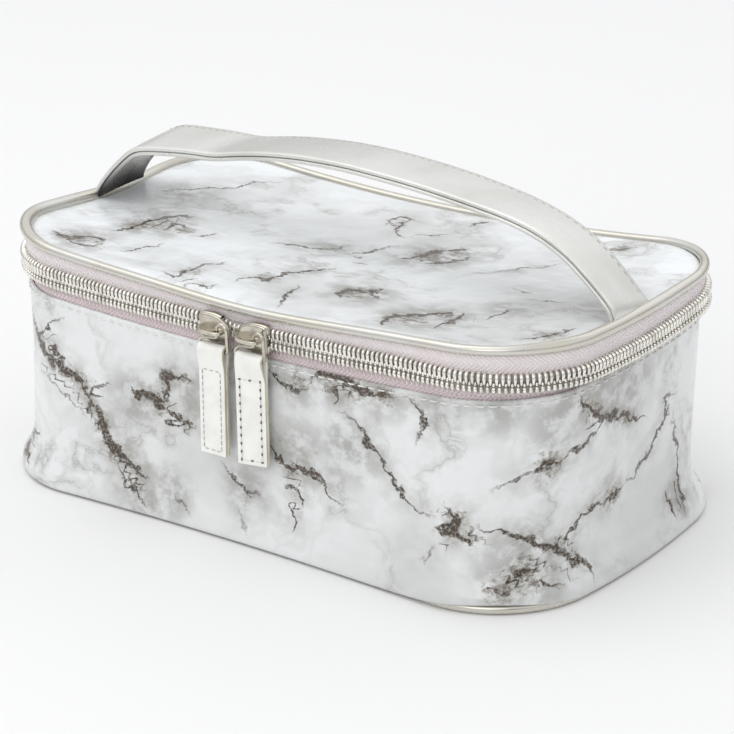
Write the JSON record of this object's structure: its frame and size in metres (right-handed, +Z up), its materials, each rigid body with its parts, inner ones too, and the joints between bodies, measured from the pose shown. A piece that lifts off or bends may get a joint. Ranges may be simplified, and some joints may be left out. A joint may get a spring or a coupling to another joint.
{
  "type": "makeup train case",
  "caption": "Soft-sided rectangular makeup case in marble-print coated fabric, with a zip-round lid, silver piping, sliders with leather pulls and a carry strap over the lid.",
  "frame": {"origin": "on the underside of the flat base panel, on the surface that the case stands on, straight below the middle of the lid", "axes": "+Z up, X along the case's length, -Y towards the front with the sliders; the lid hinges along the back at +Y"},
  "size_m": [0.2276, 0.1252, 0.1113],
  "materials": {
    "marble": "glossy coated fabric printed with grey-white marble and brown-grey veins",
    "silver": "metallic silver coated fabric, glossy",
    "tape": "woven herringbone polyester zip tape, pale lilac pink, matt",
    "coil": "metallised silver nylon coil",
    "nickel": "warm nickel plating on zinc",
    "tab": "pearl white-silver coated leather with cream painted edges",
    "lining": "satin-weave polyester, pale lilac grey",
    "binding": "ribbed nylon seam binding",
    "board": "grey stiffener board",
    "foam": "thin sponge foam sheet"
  },
  "bodies": {
    "case": {"body_wall": "marble", "base_piping": "silver", "base_panel": "marble", "base_board": "board", "wall_foam": "foam", "body_lining": "lining", "case_seam_binding": "binding", "lower_zip_tape": "tape", "lower_zip_coil": "coil", "hinge_strip_lower": "marble"},
    "lid": {"lid_panel": "marble", "lid_board": "board", "lid_lining": "lining", "lid_piping": "silver", "lid_seam_binding": "binding", "upper_zip_tape": "tape", "upper_zip_coil": "coil", "hinge_strip_upper": "marble", "handle_strap_top": "silver", "handle_strap_under": "silver"},
    "left_slider": {"left_slider": "nickel"},
    "right_slider": {"right_slider": "nickel"},
    "left_ring": {"left_pull_ring": "nickel"},
    "right_ring": {"right_pull_ring": "nickel"},
    "left_pull": {"left_pull_tab": "tab"},
    "right_pull": {"right_pull_tab": "tab"}
  },
  "joints": [
    {"name": "lid_hinge", "type": "hinge", "parent": "case", "child": "lid", "pos_m": [0, 0.0583, 0.0659], "axis": [-1, 0, 0], "range_deg": [0, 180]},
    {"name": "left_slider_travel", "type": "slide", "parent": "case", "child": "left_slider", "axis": [-0.9996, 0.0208, 0.0166], "range_m": [0, 0.0666]},
    {"name": "right_slider_travel", "type": "slide", "parent": "case", "child": "right_slider", "axis": [0.9996, 0.0213, 0.017], "range_m": [0, 0.0648]},
    {"name": "left_ring_lift", "type": "hinge", "parent": "left_slider", "child": "left_ring", "pos_m": [-0.0028, -0.06499, 0.07101], "axis": [-1, 0, 0], "range_deg": [0, 45]},
    {"name": "right_ring_lift", "type": "hinge", "parent": "right_slider", "child": "right_ring", "pos_m": [0.0118, -0.06498, 0.07101], "axis": [-1, 0, 0], "range_deg": [0, 45]},
    {"name": "left_tab_lift", "type": "hinge", "parent": "left_ring", "child": "left_pull", "pos_m": [-0.0054, -0.06499, 0.06501], "axis": [-1, 0, 0], "range_deg": [0, 120]},
    {"name": "right_tab_lift", "type": "hinge", "parent": "right_ring", "child": "right_pull", "pos_m": [0.0092, -0.06498, 0.06501], "axis": [-1, 0, 0], "range_deg": [0, 120]}
  ]
}
